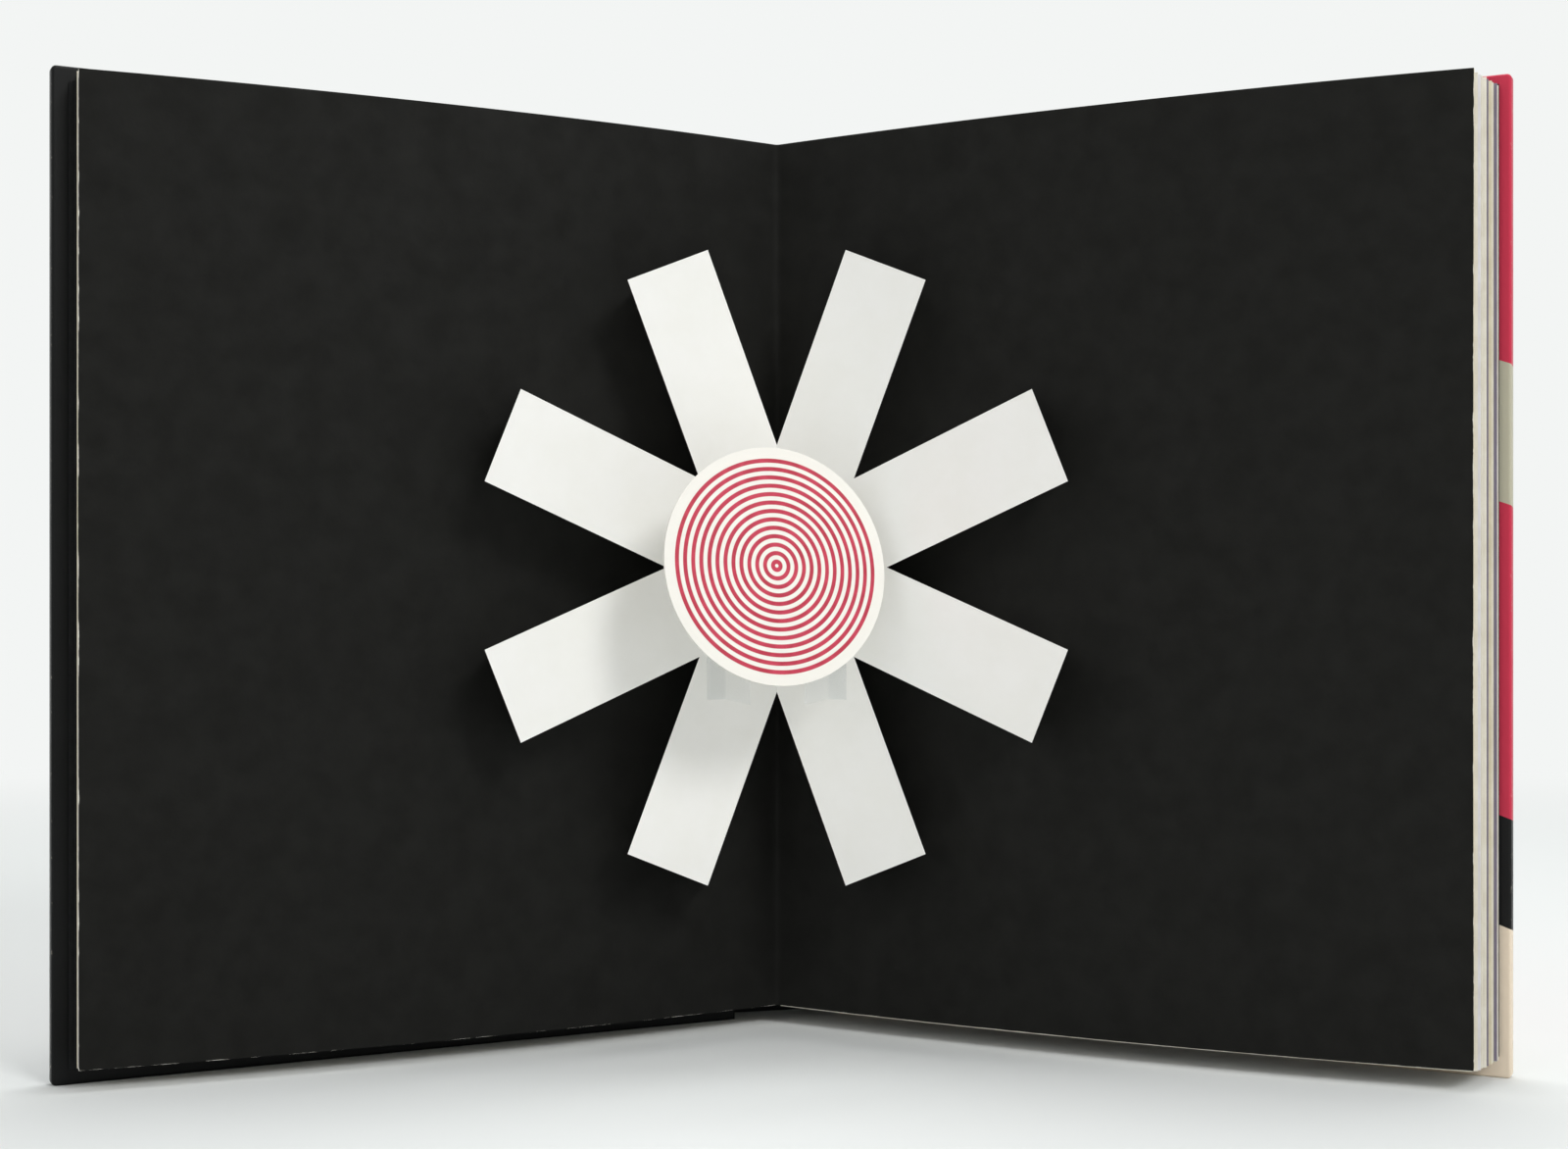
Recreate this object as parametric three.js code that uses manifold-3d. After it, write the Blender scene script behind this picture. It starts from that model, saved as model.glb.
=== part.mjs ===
// A small hardback pop-up book, standing open on its tail edges at a white star with a ringed disc.
// Millimetres, +Z up, the reader on the -Y side. In plan the fold of the open spread is at x = 0, y = 0,
// and at the end the whole book moves so that its origin is the middle of its footprint.

import * as THREE from 'three';
import { mergeVertices } from 'three/addons/utils/BufferGeometryUtils.js';
import Module from 'manifold-3d';

const wasm = await Module();
wasm.setup();

// Pages
const pageWidth = 140.5;
const pageHeight = 180;
const gutterAngle = 33; // degrees between a page and the plane of the camera, at the fold
const foreEdgeAngle = 20.5; // the same at the fore-edge: the pages bow towards the reader
const spreadThickness = 0.4;
const leafThickness = 0.75; // two glued cards
const leftLeafCount = 5;
const rightLeafCount = 10;
const leafPitch = 1.5; // a leaf and the folded paper between it and the next
const rootDepth = 1.6; // how deep the leaves are glued together at their folds
const spineGlue = 1.2;

// Covers
const boardAngle = 27;
const boardWidth = 137.5;
const boardHeight = 184.9;
const boardThickness = 1.8;
const paperThickness = 0.3;
const turnIn = 14;
const tailSquare = 4; // how far the pages stand above the table
const spineSetback = 5; // from the leaves' folds to the board's edge
const jointLength = 7.5; // paper between board and spine
const jointLap = 0.6; // how far that paper runs on over the board
const hingeClearance = 1;
const liningInset = 4; // from the spine's edges to the ends of its lining
const pastedownMargin = 3;
const glueGap = 0.25;

// Pop-up
const cardThickness = 0.4;
const starHeight = 95; // above the table
const starDepth = 17.3; // from the gutter to the star's fold, straight towards the reader
const faceAngle = 30;
const rayCount = 8;
const rayWidth = 19;
const rayLength = 64;
const discRadius = 22.8;
const discDepth = 44; // in front of the gutter
const discYaw = 25;
const discLean = 9;
const filmThickness = 0.3;
const filmHeight = 26;
const filmFoot = 4;
const filmSpread = 12; // along the star's face, from its fold to each strut's foot
const filmReach = 5; // from the disc's middle to where each strut meets it

const faceReach = 0.5; // how far the star's faces may run out, as a share of the page's width
const floorReach = 0.7; // and the page under them

const curveSteps = 12;
const discSteps = 72;
const overcut = 1; // how far a cutting solid passes the surface that it cuts
const straightTurn = 1e-6; // radians, a bow too small to count
const weldDistance = 1e-4;

const rad = THREE.MathUtils.degToRad;
const lerp = THREE.MathUtils.lerp;

const pageTone = new THREE.MeshStandardMaterial({ color: 0xeeebdd, roughness: 0.85 });
const blackPrint = new THREE.MeshStandardMaterial({ color: 0x242422, roughness: 0.75 });
const whiteCard = new THREE.MeshStandardMaterial({ color: 0xf4f4f0, roughness: 0.8 });
const ringPrint = new THREE.MeshStandardMaterial({ color: 0xf0d8d4, roughness: 0.7 });
const clearFilm = new THREE.MeshStandardMaterial({ color: 0xdfe4e6, roughness: 0.15, transparent: true, opacity: 0.35 });
const greyBoard = new THREE.MeshStandardMaterial({ color: 0x8d8980, roughness: 0.95 });
const blackPaper = new THREE.MeshStandardMaterial({ color: 0x1e1f20, roughness: 0.6 });
const redPaper = new THREE.MeshStandardMaterial({ color: 0xb5344a, roughness: 0.6 });
const mullCloth = new THREE.MeshStandardMaterial({ color: 0xd9d4c4, roughness: 0.95 });

// Plan geometry. side is -1 for the left page and 1 for the right.
const along = (side, degrees) => new THREE.Vector2(side * Math.cos(rad(degrees)), -Math.sin(rad(degrees)));
const behind = (side, degrees) => new THREE.Vector2(side * Math.sin(rad(degrees)), Math.cos(rad(degrees)));
const stackThickness = (leafCount) => spreadThickness + glueGap + leafPitch * (leafCount - 1) + leafThickness;
const thicknessOn = (side) => stackThickness(side < 0 ? leftLeafCount : rightLeafCount);

// A point on a leaf whose fold is depth behind the gutter: s along it, and offset behind its front.
// Each leaf is an arc, and the further back it is, the flatter it lies, until it lies along the board.
function leafPoint(side, depth, s, offset) {
  const share = Math.max(depth, 0) / thicknessOn(side);
  const start = rad(lerp(gutterAngle, boardAngle, share));
  const end = rad(lerp(foreEdgeAngle, boardAngle, share));
  const turn = start - end;
  const bow = turn * s / pageWidth;
  const angle = start - bow;
  const chord = Math.abs(bow) < straightTurn ? s : 2 * pageWidth / turn * Math.sin(bow / 2);
  const chordAngle = start - bow / 2;
  const root = behind(side, gutterAngle).multiplyScalar(depth);
  return new THREE.Vector2(
    root.x + side * (chord * Math.cos(chordAngle) + offset * Math.sin(angle)),
    root.y - chord * Math.sin(chordAngle) + offset * Math.cos(angle),
  );
}

function leafCurve(side, depth, offset, from, to) {
  return Array.from({ length: curveSteps + 1 }, (_, i) =>
    leafPoint(side, depth, lerp(from, to, i / curveSteps), offset));
}

// Where the two sides of a sheet meet at the gutter, offset behind the sheet's front
const gutterPoint = (offset) => new THREE.Vector2(0, offset / Math.cos(rad(gutterAngle)));

function prism(outline, height, bottom) {
  const shape = new THREE.Shape(outline);
  const geometry = new THREE.ExtrudeGeometry(shape, { depth: height, bevelEnabled: false });
  return geometry.translate(0, 0, bottom);
}

// A strip of paper seen on edge: an open path in plan, given a thickness
function ribbon(path, thickness, height, bottom) {
  const normals = path.slice(1).map((point, i) => {
    const step = point.clone().sub(path[i]).normalize();
    return new THREE.Vector2(-step.y, step.x);
  });
  const edge = (sign) => path.map((point, i) => {
    const before = normals[Math.max(i - 1, 0)];
    const after = normals[Math.min(i, normals.length - 1)];
    const mitre = before.clone().add(after).normalize();
    return point.clone().addScaledVector(mitre, sign * thickness / 2 / mitre.dot(after));
  });
  return prism([...edge(1), ...edge(-1).reverse()], height, bottom);
}

function solid(geometry) {
  const bare = geometry.clone();
  bare.deleteAttribute('normal');
  bare.deleteAttribute('uv');
  const merged = mergeVertices(bare, weldDistance);
  return new wasm.Manifold(new wasm.Mesh({
    numProp: 3,
    vertProperties: new Float32Array(merged.attributes.position.array),
    triVerts: new Uint32Array(merged.index.array),
  }));
}

function geometryOf(body) {
  const mesh = body.getMesh();
  const geometry = new THREE.BufferGeometry();
  geometry.setAttribute('position', new THREE.BufferAttribute(new Float32Array(mesh.vertProperties), 3));
  geometry.setIndex(new THREE.BufferAttribute(new Uint32Array(mesh.triVerts), 1));
  return geometry;
}

function block(x0, x1, y0, y1, z0, z1) {
  return new THREE.BoxGeometry(x1 - x0, y1 - y0, z1 - z0)
    .translate((x0 + x1) / 2, (y0 + y1) / 2, (z0 + z1) / 2);
}

const sum = (bodies) => bodies.reduce((all, body) => all.add(body));

// Leaves

function openSpread() {
  const outline = [
    ...leafCurve(-1, 0, 0, pageWidth, 0),
    ...leafCurve(1, 0, 0, 0, pageWidth).slice(1),
    ...leafCurve(1, 0, spreadThickness, pageWidth, spreadThickness),
    gutterPoint(spreadThickness),
    ...leafCurve(-1, 0, spreadThickness, spreadThickness, pageWidth),
  ];
  return prism(outline, pageHeight, tailSquare);
}

// One side of the page block from the gutter outwards: leaf after leaf, joined at their folds
function leafComb(side, leafCount) {
  const firstLeaf = spreadThickness + glueGap;
  const points = [];
  for (let i = 0; i < leafCount; i += 1) {
    const depth = firstLeaf + i * leafPitch;
    points.push(...leafCurve(side, depth, 0, i === 0 ? 0 : rootDepth, pageWidth));
    points.push(...leafCurve(side, depth, leafThickness, pageWidth, i === leafCount - 1 ? 0 : rootDepth));
  }
  points.push(leafPoint(side, stackThickness(leafCount), -spineGlue, 0));
  return points;
}

// Where the glue behind the two halves' folds meets
function glueApex(depth) {
  return new THREE.Vector2(0, depth / Math.sin(rad(gutterAngle)));
}

function pageBlock() {
  const outline = [
    gutterPoint(spreadThickness + glueGap),
    ...leafComb(1, rightLeafCount),
    glueApex(spineGlue),
    ...leafComb(-1, leftLeafCount).reverse(),
  ];
  return prism(outline, pageHeight, tailSquare);
}

// Case: each cover is made in a frame of its own, whose origin is the hinge at the spine's edge

const coverThickness = boardThickness + 2 * (glueGap + paperThickness);
const pastedownStep = glueGap + paperThickness;
const caseHeight = boardHeight + 2 * (glueGap + paperThickness);
const caseWidth = boardWidth + glueGap + paperThickness;

// The board's edge by the joint, on the outer face of the cover
function boardCorner(side) {
  const leafBack = leafPoint(side, thicknessOn(side), 0, 0);
  return leafBack
    .addScaledVector(behind(side, boardAngle), glueGap + pastedownStep + coverThickness)
    .addScaledVector(along(side, boardAngle), spineSetback);
}

const leftCorner = boardCorner(-1);
const rightCorner = boardCorner(1);
const spineWidth = thicknessOn(-1) + thicknessOn(1) + 2 * boardThickness;
const cornerSpan = rightCorner.clone().sub(leftCorner);
const spineAlong = cornerSpan.clone().normalize();
const spineBehind = new THREE.Vector2(-spineAlong.y, spineAlong.x);
const jointSplay = (spineWidth + 2 * hingeClearance - cornerSpan.length()) / 2;
const jointSetback = Math.sqrt(jointLength ** 2 - jointSplay ** 2);
const hingeAt = (side) => (side < 0 ? leftCorner : rightCorner).clone()
  .addScaledVector(spineAlong, side * jointSplay)
  .addScaledVector(spineBehind, jointSetback);
const leftHinge = hingeAt(-1);
const rightHinge = hingeAt(1);

// From plan to the cover's own frame: x along the board, y behind it
function toCover(side, point) {
  const step = point.clone().sub(side < 0 ? leftHinge : rightHinge);
  return new THREE.Vector2(side * step.dot(along(side, boardAngle)), step.dot(behind(side, boardAngle)));
}

// A block of the cover, measured from the outer corner at the joint: x towards the fore-edge, y forwards
function coverBlock(side, x0, x1, y0, y1, z0, z1) {
  const corner = toCover(side, side < 0 ? leftCorner : rightCorner);
  const ends = [corner.x + side * x0, corner.x + side * x1].sort((a, b) => a - b);
  return block(ends[0], ends[1], corner.y - y1, corner.y - y0, z0, z1);
}

function coverBoard(side) {
  const skin = paperThickness + glueGap;
  return coverBlock(side, 0, boardWidth, skin, skin + boardThickness, skin, skin + boardHeight);
}

// The printed paper: over the board's outside, round its three free edges, and turned in
function coverPaper(side) {
  const skin = paperThickness;
  const whole = solid(coverBlock(side, 0, caseWidth, 0, coverThickness, 0, caseHeight));
  const boardSpace = solid(coverBlock(side, -overcut, caseWidth - skin, skin, coverThickness - skin, skin, caseHeight - skin));
  const pasteSpace = solid(coverBlock(side, -overcut, caseWidth - turnIn, skin, coverThickness + overcut, turnIn, caseHeight - turnIn));
  const corner = toCover(side, side < 0 ? leftCorner : rightCorner);
  const reach = corner.length();
  const start = corner.clone().multiplyScalar(hingeClearance / reach);
  const middle = corner.y - paperThickness / 2;
  const joint = solid(ribbon([
    start,
    new THREE.Vector2(corner.x, middle),
    new THREE.Vector2(corner.x + side * jointLap, middle),
  ], paperThickness, caseHeight, 0));
  return geometryOf(whole.subtract(boardSpace).subtract(pasteSpace).add(joint));
}

function pastedown(side) {
  const front = coverThickness + glueGap;
  return coverBlock(side, pastedownMargin, caseWidth - pastedownMargin, front, front + paperThickness,
    pastedownMargin, caseHeight - pastedownMargin);
}

// Spine: made along x, with the middle of its outer face at the origin
function spineBoard() {
  const skin = paperThickness + glueGap;
  const half = spineWidth / 2 - hingeClearance;
  return block(-half, half, -skin - boardThickness, -skin, skin, skin + boardHeight);
}

function spinePaper() {
  const half = spineWidth / 2;
  const skin = paperThickness;
  const whole = solid(block(-half, half, -coverThickness, 0, 0, caseHeight));
  const boardSpace = solid(block(-half - overcut, half + overcut, -coverThickness + skin, -skin, skin,
    caseHeight - skin));
  const openSide = solid(block(-half - overcut, half + overcut, -coverThickness - overcut, -skin, turnIn,
    caseHeight - turnIn));
  return geometryOf(whole.subtract(boardSpace).subtract(openSide));
}

// Woven strip glued round the folds of the leaves, its ends reaching the spine
function spineLining() {
  const layer = spineGlue + glueGap + paperThickness / 2;
  const end = (side) => (side < 0 ? leftHinge : rightHinge).clone()
    .addScaledVector(spineAlong, -side * liningInset)
    .addScaledVector(spineBehind, -coverThickness - glueGap);
  const path = [
    end(-1),
    leafPoint(-1, thicknessOn(-1), -layer, 0),
    glueApex(layer),
    leafPoint(1, thicknessOn(1), -layer, 0),
    end(1),
  ];
  return ribbon(path, paperThickness, pageHeight, tailSquare);
}

// Pop-up

// All between two surfaces in plan: the star's faces, offset behind them, and the open spread
function popUpSpace(offset, clearance) {
  const reach = pageWidth * faceReach;
  const face = (side) => new THREE.Vector2(0, -starDepth + offset / Math.cos(rad(faceAngle)))
    .addScaledVector(along(side, faceAngle), reach);
  const crease = new THREE.Vector2(0, -starDepth + offset / Math.cos(rad(faceAngle)));
  const outline = [
    face(-1), crease, face(1),
    ...leafCurve(1, 0, -clearance, pageWidth * floorReach, clearance),
    gutterPoint(-clearance),
    ...leafCurve(-1, 0, -clearance, clearance, pageWidth * floorReach),
  ];
  return solid(prism(outline, pageHeight, tailSquare));
}

// Straight bars round one centre, each a prism that runs from the spread straight towards the reader
function rays(width, length) {
  const depth = 2 * pageWidth;
  const squeeze = Math.cos(rad(faceAngle));
  const bars = Array.from({ length: rayCount }, (_, i) => {
    const turn = 2 * Math.PI * (i + 0.5) / rayCount;
    return solid(new THREE.BoxGeometry(width, depth, length)
      .translate(0, 0, length / 2)
      .rotateY(turn)
      .scale(squeeze, 1, 1)
      .translate(0, 0, starHeight));
  });
  return sum(bars);
}

function star() {
  const outside = rays(rayWidth, rayLength).intersect(popUpSpace(0, glueGap));
  const inside = rays(rayWidth - 2 * cardThickness, 2 * rayLength).intersect(popUpSpace(cardThickness, -overcut));
  return geometryOf(outside.subtract(inside));
}

function disc() {
  return new THREE.CylinderGeometry(discRadius, discRadius, cardThickness, discSteps);
}

const discFacing = new THREE.Euler(-rad(discLean), 0, rad(discYaw), 'ZYX');

// Clear film struts between the star's faces and the back of the disc, each with a foot on the star
function filmStrut(side) {
  const fold = new THREE.Vector2(0, -starDepth);
  const faceOut = along(side, faceAngle);
  const forward = behind(side, faceAngle).multiplyScalar(-1);
  const onFace = (s) => fold.clone().addScaledVector(faceOut, s)
    .addScaledVector(forward, glueGap + filmThickness / 2);
  const top = new THREE.Vector2(side * filmReach, -discDepth - discRadius * Math.sin(rad(discLean)));
  const strip = solid(ribbon([onFace(filmSpread + filmFoot), onFace(filmSpread), top],
    filmThickness, filmHeight, starHeight - filmHeight));
  const room = cardThickness / 2 + glueGap;
  const ahead = block(-2 * discRadius, 2 * discRadius, -4 * discRadius, room, -3 * discRadius, 3 * discRadius)
    .rotateX(-rad(discLean))
    .rotateZ(rad(discYaw))
    .translate(0, -discDepth, starHeight);
  return geometryOf(strip.subtract(solid(ahead)));
}

// The book

const book = new THREE.Group();
book.name = 'pop_up_book';

function add(parent, name, geometry, material) {
  const mesh = new THREE.Mesh(geometry, material);
  mesh.name = name;
  parent.add(mesh);
  return mesh;
}

add(book, 'open_spread', openSpread(), blackPrint);
add(book, 'page_block', pageBlock(), pageTone);
add(book, 'spine_lining', spineLining(), mullCloth);
add(book, 'star', star(), whiteCard);
add(book, 'left_film_strut', filmStrut(-1), clearFilm);
add(book, 'right_film_strut', filmStrut(1), clearFilm);
const ringDisc = add(book, 'ringed_disc', disc(), ringPrint);
ringDisc.setRotationFromEuler(discFacing);
ringDisc.position.set(0, -discDepth, starHeight);

const spine = new THREE.Group();
const spineMiddle = leftHinge.clone().lerp(rightHinge, 0.5);
spine.position.set(spineMiddle.x, spineMiddle.y, 0);
spine.rotation.z = spineAlong.angle();
add(spine, 'spine_board', spineBoard(), greyBoard);
add(spine, 'spine_paper', spinePaper(), blackPaper);
book.add(spine);

function cover(side, names, paperMaterial) {
  const group = new THREE.Group();
  const hinge = side < 0 ? leftHinge : rightHinge;
  group.position.set(hinge.x, hinge.y, 0);
  group.rotation.z = -side * rad(boardAngle);
  add(group, names.board, coverBoard(side), greyBoard);
  add(group, names.paper, coverPaper(side), paperMaterial);
  add(group, names.pastedown, pastedown(side), blackPaper);
  book.add(group);
}

cover(-1, { board: 'front_board', paper: 'front_cover_paper', pastedown: 'front_pastedown' }, blackPaper);
cover(1, { board: 'back_board', paper: 'back_cover_paper', pastedown: 'back_pastedown' }, redPaper);

book.updateMatrixWorld(true);
const footprint = new THREE.Box3().setFromObject(book).getCenter(new THREE.Vector3());
book.position.set(-footprint.x, -footprint.y, 0);

export default book;
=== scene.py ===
import math
import random

import bmesh
import bpy
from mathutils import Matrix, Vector


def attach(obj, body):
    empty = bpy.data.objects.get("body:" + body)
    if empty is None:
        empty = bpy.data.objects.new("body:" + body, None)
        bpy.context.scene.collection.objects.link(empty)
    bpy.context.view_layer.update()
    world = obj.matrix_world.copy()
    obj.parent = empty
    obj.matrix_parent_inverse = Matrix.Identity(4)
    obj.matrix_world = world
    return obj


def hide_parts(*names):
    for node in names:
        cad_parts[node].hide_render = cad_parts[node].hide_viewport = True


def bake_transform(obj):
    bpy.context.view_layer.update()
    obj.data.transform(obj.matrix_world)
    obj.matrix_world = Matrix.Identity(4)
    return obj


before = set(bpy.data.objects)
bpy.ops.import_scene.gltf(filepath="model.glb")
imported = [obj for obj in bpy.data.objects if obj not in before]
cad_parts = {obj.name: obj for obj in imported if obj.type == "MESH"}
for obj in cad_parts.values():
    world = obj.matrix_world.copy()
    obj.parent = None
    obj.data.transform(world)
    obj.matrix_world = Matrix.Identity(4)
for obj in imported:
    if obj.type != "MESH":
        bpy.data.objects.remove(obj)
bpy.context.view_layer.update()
scene = bpy.context.scene
print("frame loaded")

# Plan of the book in millimetres and degrees, seen from above. The fold of the open spread is at 0, 0
# and the reader is on the -Y side. side is -1 for the left half and 1 for the right.
plan = {
    "foldAt": (-1.847, 21.180),  # where that fold stands in the row frame
    "pageWidth": 140.5,
    "pageHeight": 180,
    "tailSquare": 4,
    "gutterAngle": 33,
    "foreEdgeAngle": 20.5,
    "boardAngle": 27,
    "spreadThickness": 0.4,
    "glueGap": 0.25,
    "leafThickness": 0.75,
    "leafPitch": 1.5,
    "leafCount": {-1: 5, 1: 10},
}


def along(side, degrees):
    return Vector((side * math.cos(math.radians(degrees)), -math.sin(math.radians(degrees))))


def behind(side, degrees):
    return Vector((side * math.sin(math.radians(degrees)), math.cos(math.radians(degrees))))


def lerp(a, b, share):
    return a + (b - a) * share


def smooth(low, high, value):
    t = min(max((value - low) / (high - low), 0), 1)
    return t * t * (3 - 2 * t)


def leafDepth(i):
    return plan["spreadThickness"] + plan["glueGap"] + plan["leafPitch"] * i


def stackThickness(side):
    return leafDepth(plan["leafCount"][side] - 1) + plan["leafThickness"]


# A point of the leaf whose fold is depth behind the gutter: s along the leaf, offset behind its front
def leafPoint(side, depth, s, offset):
    share = max(depth, 0) / stackThickness(side)
    start = math.radians(lerp(plan["gutterAngle"], plan["boardAngle"], share))
    turn = start - math.radians(lerp(plan["foreEdgeAngle"], plan["boardAngle"], share))
    bow = turn * s / plan["pageWidth"]
    angle = start - bow
    straight = abs(bow) < 1e-6
    chord = s if straight else 2 * plan["pageWidth"] / turn * math.sin(bow / 2)
    chordAngle = start - bow / 2
    root = behind(side, plan["gutterAngle"]) * depth
    return Vector((
        root.x + side * (chord * math.cos(chordAngle) + offset * math.sin(angle)),
        root.y - chord * math.sin(chordAngle) + offset * math.cos(angle),
    ))


def gutterPoint(offset):
    return Vector((0, offset / math.cos(math.radians(plan["gutterAngle"]))))


def inFrame(point, z):
    return Vector((point.x + plan["foldAt"][0], point.y + plan["foldAt"][1], z)) / 1000


# Meshes

def finishMesh(bm, name, material, smoothAngle=35):
    bm.normal_update()
    bmesh.ops.recalc_face_normals(bm, faces=bm.faces)
    mesh = bpy.data.meshes.new(name)
    bm.to_mesh(mesh)
    bm.free()
    mesh.materials.append(material)
    mesh.polygons.foreach_set("use_smooth", [True] * len(mesh.polygons))
    mesh.set_sharp_from_angle(angle=math.radians(smoothAngle))
    piece = bpy.data.objects.new(name, mesh)
    scene.collection.objects.link(piece)
    return piece


# A closed sheet between two runs of plan points, front and back, with rows up its height.
# bend(i, z) moves a point of both runs backwards by that many millimetres.
def addSheet(bm, front, back, low, high, rows=1, tone=0.5, bend=None):
    toneLayer = bm.faces.layers.float.get("tone") or bm.faces.layers.float.new("tone")
    levels = [lerp(low, high, r / rows) for r in range(rows + 1)]
    last = len(front) - 1

    def grid(points):
        return [[
            bm.verts.new(inFrame(points[i] + Vector((0, bend(i, z) if bend else 0)), z))
            for i in range(last + 1)
        ] for z in levels]

    a, b = grid(front), grid(back)
    faces = []
    for r in range(rows):
        for i in range(last):
            faces.append((a[r][i], a[r][i + 1], a[r + 1][i + 1], a[r + 1][i]))
            faces.append((b[r][i], b[r + 1][i], b[r + 1][i + 1], b[r][i + 1]))
        faces.append((a[r][0], a[r + 1][0], b[r + 1][0], b[r][0]))
        faces.append((a[r][last], b[r][last], b[r + 1][last], a[r + 1][last]))
    for i in range(last):
        faces.append((a[0][i], b[0][i], b[0][i + 1], a[0][i + 1]))
        faces.append((a[rows][i], a[rows][i + 1], b[rows][i + 1], b[rows][i]))
    for corners in faces:
        bm.faces.new(corners)[toneLayer] = tone


# The two edges of a strip that follows an open path in plan. Its sharp turns are cut short, as a mitre is
def stripEdges(path, thickness, shortestMitre=0.3):
    normals = []
    for p, q in zip(path, path[1:]):
        step = (q - p).normalized()
        normals.append(Vector((-step.y, step.x)))
    edges = ([], [])
    for i, point in enumerate(path):
        before, after = normals[max(i - 1, 0)], normals[min(i, len(normals) - 1)]
        mitre = (before + after).normalized()
        reach = thickness / 2 / max(mitre.dot(after), shortestMitre)
        edges[0].append(point + mitre * reach)
        edges[1].append(point - mitre * reach)
    return edges


def bezier(p0, p1, p2, p3, steps):
    points = []
    for i in range(steps + 1):
        t = i / steps
        near = p0 * (1 - t) ** 3 + p1 * 3 * t * (1 - t) ** 2
        points.append(near + p2 * 3 * t * t * (1 - t) + p3 * t ** 3)
    return points


# Materials

def linear(hexColour):
    parts = [int(hexColour[i:i + 2], 16) / 255 for i in (1, 3, 5)]
    return tuple(c / 12.92 if c <= 0.04045 else ((c + 0.055) / 1.055) ** 2.4 for c in parts) + (1,)


def addNode(tree, kind, settings=None, links=None):
    node = tree.nodes.new(kind)
    for key, value in (settings or {}).items():
        if key == "stops":
            ramp = node.color_ramp
            while len(ramp.elements) < len(value):
                ramp.elements.new(1)
            for element, (position, colour) in zip(ramp.elements, value):
                element.position = position
                element.color = linear(colour)
        elif key == "interpolation":
            node.color_ramp.interpolation = value
        elif isinstance(key, int) or key in node.inputs:
            node.inputs[key].default_value = value
        else:
            setattr(node, key, value)
    for key, source in (links or {}).items():
        tree.links.new(source, node.inputs[key])
    return node


def newMaterial(name, settings):
    material = bpy.data.materials.new(name)
    material.use_nodes = True
    tree = material.node_tree
    shader = tree.nodes["Principled BSDF"]
    for key, value in settings.items():
        shader.inputs[key].default_value = value
    coords = addNode(tree, "ShaderNodeTexCoord")
    return material, tree, shader, coords


# Fine relief of a surface: noise of that grain in millimetres, raised by depth in millimetres
def addRelief(tree, shader, coords, grain, depth, detail=3):
    relief = addNode(tree, "ShaderNodeTexNoise", {"Scale": 1000 / grain, "Detail": detail, "Roughness": 0.6},
                     {"Vector": coords.outputs["Object"]})
    bump = addNode(tree, "ShaderNodeBump", {"Strength": 1, "Distance": depth / 1000},
                   {"Height": relief.outputs["Fac"]})
    tree.links.new(bump.outputs["Normal"], shader.inputs["Normal"])


# Roughness that wanders between two values over patches of that size in millimetres. The noise seldom
# leaves 0.3 to 0.7, so that span is spread over both values
def addRoughness(tree, shader, coords, patch, low, high):
    noise = addNode(tree, "ShaderNodeTexNoise", {"Scale": 1000 / patch, "Detail": 2},
                    {"Vector": coords.outputs["Object"]})
    spread = addNode(tree, "ShaderNodeMapRange", {
        "From Min": 0.3, "From Max": 0.7, "To Min": low, "To Max": high,
    }, {"Value": noise.outputs["Fac"]})
    tree.links.new(spread.outputs["Result"], shader.inputs["Roughness"])


# Two colours mixed over patches of that size in millimetres
def addMottle(tree, coords, patch, colourA, colourB, detail=4):
    noise = addNode(tree, "ShaderNodeTexNoise", {"Scale": 1000 / patch, "Detail": detail, "Roughness": 0.6},
                    {"Vector": coords.outputs["Object"]})
    return addNode(tree, "ShaderNodeValToRGB", {"stops": [(0.36, colourA), (0.64, colourB)]},
                   {"Fac": noise.outputs["Fac"]})


# A finish of one colour that only wanders: "mottle" is the patch in millimetres and the two colours,
# "roughness" the patch and the two values, "relief" the grain and its depth in millimetres
def makePlainFinish(name, settings):
    material, tree, shader, coords = newMaterial(name, settings["shader"])
    tint = addMottle(tree, coords, *settings["mottle"])
    tree.links.new(tint.outputs["Color"], shader.inputs["Base Color"])
    addRoughness(tree, shader, coords, *settings["roughness"])
    if "relief" in settings:
        addRelief(tree, shader, coords, *settings["relief"])
    return material


# Printed card with solid black ink under a matt varnish: a dead, slightly cloudy black, with bare
# white card along its cut edges and where the foot and fore-edges have rubbed
mattBlackPrint = {
    "ink": (5, "#151513", "#1a1a18"),
    "cardEdge": "#ece9df",
    "rubWidth": 0.07,  # mm
    "rubPatch": 5,
    "rubRange": (0.5, 0.7),  # the noise where rubbing starts and is full
    "frontFacing": 0.6,  # how squarely the printed side looks at the reader, at least
    "footHardness": 2.5,  # how much less the foot has rubbed than the fore-edges
    "roughness": (7, 0.56, 0.7),
    "relief": (0.5, 0.018),
}


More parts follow.
